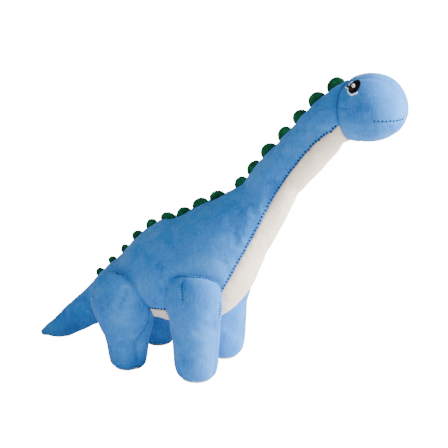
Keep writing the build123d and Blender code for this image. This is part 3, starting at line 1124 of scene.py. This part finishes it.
class EyePlace:
    """Puts points of the eye's plane onto the head."""

    def __init__(self, side, tree):
        self.tree = tree
        self.centre = Vector((EYE_CENTRE[0], side * EYE_CENTRE[1], EYE_CENTRE[2])) * MM
        self.normal = Vector((EYE_NORMAL[0], side * EYE_NORMAL[1], EYE_NORMAL[2])).normalized()
        ahead = Vector((1, 0, 0.2))
        self.ahead = (ahead - self.normal * ahead.dot(self.normal)).normalized()
        up = self.ahead.cross(self.normal)
        self.up = up if up.z > 0 else -up

    def at(self, forward, up, height):
        """A point of the eye, found from 20 mm outside the head and raised by height."""
        reach = EYE_SCALE * MM
        start = self.centre + self.ahead * forward * reach + self.up * up * reach + self.normal * 0.02
        hit, normal, _, _ = self.tree.ray_cast(start, -self.normal, 0.05)
        if hit is None:
            hit, normal, _, _ = self.tree.find_nearest(start)
        return hit + self.normal * height


def closed_curve(points, count):
    points = np.asarray(points, float)
    looped = np.vstack((points[-3:], points, points[:3]))
    knots = np.concatenate(([0], np.cumsum(np.linalg.norm(np.diff(looped, axis=0), axis=1))))
    return smooth_rows(looped, knots, np.linspace(knots[3], knots[len(points) + 3], count, endpoint=False))


def tube_faces(start, rings, around):
    """Faces between rings of points that follow one another in a mesh."""
    faces = []
    for k in range(rings - 1):
        a, b = start + k * around, start + (k + 1) * around
        faces += [(a + j, b + j, b + (j + 1) % around, a + (j + 1) % around) for j in range(around)]
    return faces


def closed_up(name, vertices, faces):
    """A closed mesh whose faces all point outwards."""
    obj = mesh_object(name, vertices, faces)
    work = bmesh.new()
    work.from_mesh(obj.data)
    bmesh.ops.recalc_face_normals(work, faces=work.faces)
    work.to_mesh(obj.data)
    work.free()
    obj.data.shade_smooth()
    return obj


def satin_patch(name, place, outline, height, slant, rings, around, base=0.0):
    """Raised satin stitch: ridges of thread across a closed outline, its edge sunk into the cloth."""
    edge = closed_curve(outline, around)
    middle = edge.mean(axis=0)
    direction = np.array((math.cos(slant), math.sin(slant)))

    def ridge(point):
        return abs(math.sin(math.pi * float(np.dot(point, direction)) / STRAND_PITCH))

    vertices = [place.at(*middle, base + height * (1 + 0.1 * ridge(middle)))]
    for r in np.linspace(0, 1, rings + 1)[1:]:
        crown = (1 - r**5) * 0.75 + 0.25
        for point in middle + (edge - middle) * r:
            vertices.append(place.at(*point, base + height * (crown + 0.16 * ridge(point))))
    vertices += [place.at(*point, -EDGE_SUNK) for point in (*edge, middle)]
    last, end = 1 + rings * around, len(vertices) - 1
    faces = [(0, 1 + j, 1 + (j + 1) % around) for j in range(around)]
    faces += tube_faces(1, rings + 1, around)
    faces += [(last + j, end, last + (j + 1) % around) for j in range(around)]
    return closed_up(name, vertices, faces)


def laid_line(name, place, path, width, height):
    """A raised line of satin stitch along a path in the eye's plane."""
    centre = curve_through(path, 60)
    tangent = np.gradient(centre, axis=0)
    tangent /= np.linalg.norm(tangent, axis=1)[:, None]
    across = np.stack((-tangent[:, 1], tangent[:, 0]), -1)
    sides, vertices = 10, []
    for k, (point, sideways) in enumerate(zip(centre, across)):
        taper = math.sin(math.pi * min(1, (k + 0.5) / 6, (len(centre) - k - 0.5) / 6) / 2)
        ridge = 1 + 0.15 * math.sin(k * 2.2)
        for s in range(sides):
            turn = 2 * math.pi * s / sides
            spot = point + sideways * width / 2 * taper * math.cos(turn)
            lift = height * taper * ridge * math.sin(turn)
            vertices.append(place.at(*spot, max(lift, -0.0005)))
    faces = tube_faces(0, len(centre), sides)
    faces.append(tuple(range(sides)))
    faces.append(tuple(range(len(vertices) - 1, len(vertices) - sides - 1, -1)))
    return closed_up(name, vertices, faces)


class DINOSAUR_OT_eyes(bpy.types.Operator):
    """Embroidered eyes: black satin stitch, brown iris, pale highlight and white edge"""

    bl_idname = "dinosaur.eyes"
    bl_label = "Eyes"

    def execute(self, context):
        tree = surface_tree("cheek_right", "cheek_left", "crown")
        rise = sizes().eye_height
        for side, word in ((-1, "right"), (1, "left")):
            place = EyePlace(side, tree)
            patches = (
                ("black", "black_satin", "black_thread", (EYE_OUTLINE, rise, 0.45, 26, 96)),
                ("lash", "black_satin", "black_thread", (LASH_OUTLINE, 0.9 * rise, 2.2, 8, 40)),
                ("iris", "brown_satin", "black_thread", (IRIS_OUTLINE, 0.5 * rise, 0.45, 10, 48, rise)),
                ("glint", "pale_pink_satin", "white_thread", (GLINT_OUTLINE, 0.7 * rise, 1.2, 10, 48, rise)),
                ("spot", "white_satin", "white_thread", (WHITE_SPOT, 0.8 * rise, 1.2, 6, 32)),
            )
            lines = (
                ("edge", WHITE_LINE, 1.25, 0.9 * rise),
                ("upper_edge", UPPER_WHITE_LINE, 0.8, 0.7 * rise),
            )
            made = {}
            for part, material, slot, shape in patches:
                made[part] = satin_patch(f"eye_{word}_{part}", place, *shape)
                dress(made[part], thread(material), slot)
            for part, *shape in lines:
                made[part] = laid_line(f"eye_{word}_{part}", place, *shape)
                dress(made[part], thread("white_satin"), "white_thread")
            for piece in made.values():
                head_blend(piece)
            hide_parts(f"eye_{word}")
            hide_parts(f"eye_glint_{word}")
        return {"FINISHED"}


def above(surface, v, angle):
    """Points a little outside a surface."""
    points, far = surface(v, angle), surface(v, angle + math.pi)
    away = points - far
    return points + 0.003 * away / np.maximum(np.linalg.norm(away, axis=1, keepdims=True), 1e-9)


def stitch_run(name, points, tree, pitch=1.0, length=1.0, radius=1.0, seed=0.0):
    """Stitches along a line: short bent rods that dip into the cloth, as shares of the size settings."""
    given = sizes()
    pitch, length = pitch * given.stitch_pitch, length * given.stitch_length
    radius = radius * given.thread_radius
    steps = np.concatenate(([0], np.cumsum(np.linalg.norm(np.diff(points, axis=0), axis=1))))
    sides, rings = 6, 5
    vertices, faces = [], []

    def on_line(distance):
        return np.array([np.interp(distance, steps, points[:, i]) for i in range(3)])

    for k in range(max(1, int(steps[-1] / pitch))):
        middle = (k + 0.5) * pitch + 0.12 * pitch * math.sin(12.9 * k + seed)
        tail, tip = on_line(middle - length / 2), on_line(middle + length / 2)
        spot, normal, _, _ = tree.find_nearest(Vector((tail + tip) / 2))
        along = Vector(tip - tail)
        along = (along - normal * along.dot(normal)).normalized()
        sideways = normal.cross(along)
        half = length / 2 * (1 + 0.12 * math.sin(7.7 * k + seed))
        start = len(vertices)
        for r in range(rings):
            s = -1 + 2 * r / (rings - 1)
            thick = radius * math.sqrt(max(0.0, 1 - 0.72 * s**4))
            centre = spot + along * half * s + normal * radius * (0.75 - 1.5 * s * s)
            for q in range(sides):
                turn = 2 * math.pi * q / sides
                vertices.append(centre + (sideways * math.cos(turn) + normal * math.sin(turn)) * thick)
        faces += tube_faces(start, rings, sides)
        faces.append(tuple(range(start + sides - 1, start - 1, -1)))
        faces.append(tuple(range(start + (rings - 1) * sides, start + rings * sides)))
    run = closed_up(name, vertices, faces)
    dress(run, thread("navy_stitching"), "navy_thread")
    return run


class DINOSAUR_OT_stitches(bpy.types.Operator):
    """Navy stitches along the underside, the thighs and the tucks, and the dotted mouth"""

    bl_idname = "dinosaur.stitches"
    bl_label = "Stitches"

    def execute(self, context):
        mouth_end = float(LINE[np.nonzero(chin_angle(LINE[:-2]) < 2.6)[0][-1]])
        for side, word in ((-1, "right"), (1, "left")):
            v = np.linspace(BELLY_START_V + 0.02, THROAT_END_V - 0.004, 900)
            points = above(skin, v, side * (belly_angle(v) - 0.0014 / np.interp(v, LINE, BODY[:, 3])))
            run = stitch_run(f"underside_stitches_{word}", points, surface_tree(f"{word}_side"), seed=side)
            neck_blend(run)
            v = np.linspace(v_at_x(MOUTH_START_X * MM), mouth_end, 300)
            points = above(skin, v, side * (chin_angle(v) - 0.0008 / np.interp(v, LINE, BODY[:, 3])))
            run = stitch_run(
                f"mouth_stitches_{word}", points, surface_tree(f"cheek_{word}"), 1.0, 0.8, 0.85, side
            )
            head_blend(run)
            if side < 0:
                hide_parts("mouth_stitching")
        for name in LEG_NAMES:
            surface, kind = leg_skin(name), name.split("_")[0]
            tree = surface_tree(f"{name}_outer")
            around = np.linspace(math.radians(12), math.radians(168), 400)
            ring = above(surface, np.interp(around, *LEG_ATTACHMENTS[name]) - 0.004, around)
            lines = [("arc", ring, 0.6)]
            if kind == "front":
                for number, tuck in enumerate(LEG_DARTS[kind], 1):
                    lines.append((f"tuck_{number}", above(surface, *tuck_places(kind, tuck, 40)), 0.4))
                column = np.linspace(float(leg_v(kind, 72)), float(leg_v(kind, 93)), 80)
                line = above(surface, column, leg_front_angle(kind, column) + 0.03)
                lines.append(("front_seam", line, 0.6))
            for word, line, radius in lines:
                run = stitch_run(f"{name}_{word}_stitches", line, tree, 0.8, 0.9, radius)
                leg_blend(run)
        return {"FINISHED"}


# ---------------------------------------------------------------- stage


AIM_OFFSET = Vector((0.013, 0, -0.0077))  # from the middle of the toy to where the camera looks


class DINOSAUR_OT_stage(bpy.types.Operator):
    """Pale floor, soft lights and the camera"""

    bl_idname = "dinosaur.stage"
    bl_label = "Stage"

    def execute(self, context):
        view = context.scene.dinosaur_view
        bpy.ops.object.select_all(action="DESELECT")
        bpy.ops.mesh.primitive_circle_add(vertices=96, radius=8.0, fill_type="NGON")
        floor = context.object
        floor.name = "floor"
        material, tree, shader = new_material("pale_floor")
        shader.inputs["Roughness"].default_value = 0.9
        shader.inputs["Specular IOR Level"].default_value = 0.1
        tint = joined(tree, "ShaderNodeTexNoise", None, {"Scale": 3.0})
        shade = mixed(tree, "MIX", tint.outputs["Fac"], (0.80, 0.80, 0.80, 1), (0.84, 0.84, 0.84, 1))
        tree.links.new(shade, shader.inputs["Base Color"])
        seen = tree.nodes.new("ShaderNodeLightPath").outputs["Is Camera Ray"]
        glow = spread(tree, seen, 0.0, 1.0, 0.05, view.backdrop)
        shader.inputs["Emission Color"].default_value = (1, 1, 1, 1)
        tree.links.new(glow, shader.inputs["Emission Strength"])
        floor.data.materials.append(material)
        world = bpy.data.worlds.new("studio")
        world.use_nodes = True
        tree = world.node_tree
        background = tree.nodes["Background"]
        background.inputs["Color"].default_value = (1, 1, 1, 1)
        seen = tree.nodes.new("ShaderNodeLightPath").outputs["Is Camera Ray"]
        glow = spread(tree, seen, 0.0, 1.0, view.surround, view.backdrop)
        tree.links.new(glow, background.inputs["Strength"])
        context.scene.world = world
        low, high = (Vector(corner) for corner in CAD_BOX)
        target = (low + high) / 2 + AIM_OFFSET
        back = Vector((
            math.sin(view.azimuth) * math.cos(view.elevation),
            -math.cos(view.azimuth) * math.cos(view.elevation),
            math.sin(view.elevation),
        ))
        right = Vector((math.cos(view.azimuth), math.sin(view.azimuth), 0))
        up = back.cross(right)
        # Each light's name, place from the target, size and power.
        for name, offset, size, power in (
            ("key_light", right * 1.35 + up * 0.55 + back * 0.55, 0.8, view.key_power),
            ("fill_light", -right * 0.9 + up * 1.1 + back * 0.9, 1.2, view.fill_power),
        ):
            bpy.ops.object.light_add(type="AREA", location=target + offset)
            light = context.object
            light.name = name
            light.data.shape = "DISK"
            light.data.size = size
            light.data.energy = power
            light.rotation_euler = (-offset).to_track_quat("-Z", "Y").to_euler()
        bpy.ops.object.camera_add(location=target + back * view.distance)
        camera = context.object
        camera.name = "camera"
        camera.rotation_euler = (-back).to_track_quat("-Z", "Y").to_euler()
        camera.data.lens = view.lens
        camera.data.sensor_width = 36.0
        camera.data.clip_start = 0.05
        camera.data.clip_end = 60.0
        context.scene.camera = camera
        return {"FINISHED"}


STEPS = ("sides", "tail", "head", "legs", "plates", "eyes", "stitches", "stage")


class DINOSAUR_PT_sidebar(bpy.types.Panel):
    """Lists the toy's pieces in the order that they are made"""

    bl_idname = "DINOSAUR_PT_sidebar"
    bl_label = "Stuffed Dinosaur"
    bl_space_type = "VIEW_3D"
    bl_region_type = "UI"
    bl_category = "Dinosaur"

    def draw(self, context):
        for settings in ("dinosaur_sizes", "dinosaur_colours", "dinosaur_view"):
            group = getattr(context.scene, settings)
            column = self.layout.column(align=True)
            for name in group.__annotations__:
                column.prop(group, name)
        for step in STEPS:
            self.layout.operator(f"dinosaur.{step}")


CLASSES = (
    DinosaurSizes, DinosaurColours, DinosaurView, DINOSAUR_OT_sides, DINOSAUR_OT_tail, DINOSAUR_OT_head,
    DINOSAUR_OT_legs, DINOSAUR_OT_plates, DINOSAUR_OT_eyes, DINOSAUR_OT_stitches, DINOSAUR_OT_stage,
    DINOSAUR_PT_sidebar,
)


def register():
    for made in CLASSES:
        bpy.utils.register_class(made)
    bpy.types.Scene.dinosaur_sizes = bpy.props.PointerProperty(type=DinosaurSizes)
    bpy.types.Scene.dinosaur_colours = bpy.props.PointerProperty(type=DinosaurColours)
    bpy.types.Scene.dinosaur_view = bpy.props.PointerProperty(type=DinosaurView)


def unregister():
    del bpy.types.Scene.dinosaur_sizes
    del bpy.types.Scene.dinosaur_colours
    del bpy.types.Scene.dinosaur_view
    for made in reversed(CLASSES):
        bpy.utils.unregister_class(made)


def main():
    register()
    bpy.ops.dinosaur.sides()
    bpy.ops.dinosaur.tail()
    bpy.ops.dinosaur.head()
    bpy.ops.dinosaur.legs()
    bpy.ops.dinosaur.plates()
    bpy.ops.dinosaur.eyes()
    bpy.ops.dinosaur.stitches()
    bpy.ops.dinosaur.stage()


if __name__ == "__main__":
    main()
